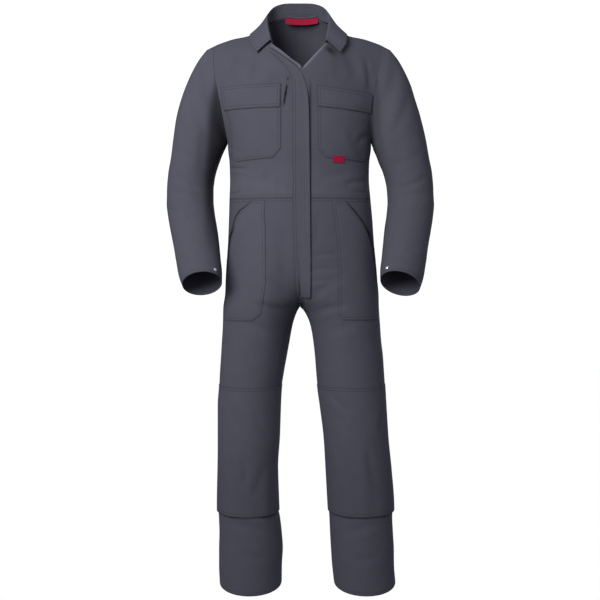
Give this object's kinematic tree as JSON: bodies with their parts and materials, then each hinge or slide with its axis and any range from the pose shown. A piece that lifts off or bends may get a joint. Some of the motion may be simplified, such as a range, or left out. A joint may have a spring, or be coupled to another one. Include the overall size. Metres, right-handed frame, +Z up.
{
  "type": "boiler suit",
  "caption": "Long-sleeved boiler suit as worn and empty, with a shirt collar, covered front opening, flapped chest pockets, thigh pockets and knee patches.",
  "frame": {"origin": "middle of the neck base, level with the upper shoulder line, where the wearer holds the suit up", "axes": "+Z up, -Y out of the front of the suit, -X towards the wearer's right"},
  "size_m": [0.734, 0.2968, 1.6189],
  "materials": {
    "twill": "matt charcoal twill",
    "red_tape": "dark red woven tape",
    "press_stud": "plain metal"
  },
  "bodies": {
    "root": {"front_right": "twill", "front_left": "twill", "back": "twill", "sleeve_right": "twill", "sleeve_left": "twill", "leg_front_right": "twill", "leg_front_left": "twill", "leg_back_right": "twill", "leg_back_left": "twill", "placket": "twill", "collar": "twill", "chest_pocket_right": "twill", "chest_pocket_left": "twill", "chest_flap_right": "twill", "chest_flap_left": "twill", "thigh_pocket_right": "twill", "thigh_pocket_left": "twill", "knee_pocket_right": "twill", "knee_pocket_left": "twill", "pocket_label": "red_tape", "neck_label": "red_tape", "hanger_loop": "twill", "cuff_stud_right": "press_stud", "cuff_stud_left": "press_stud"}
  },
  "joints": []
}
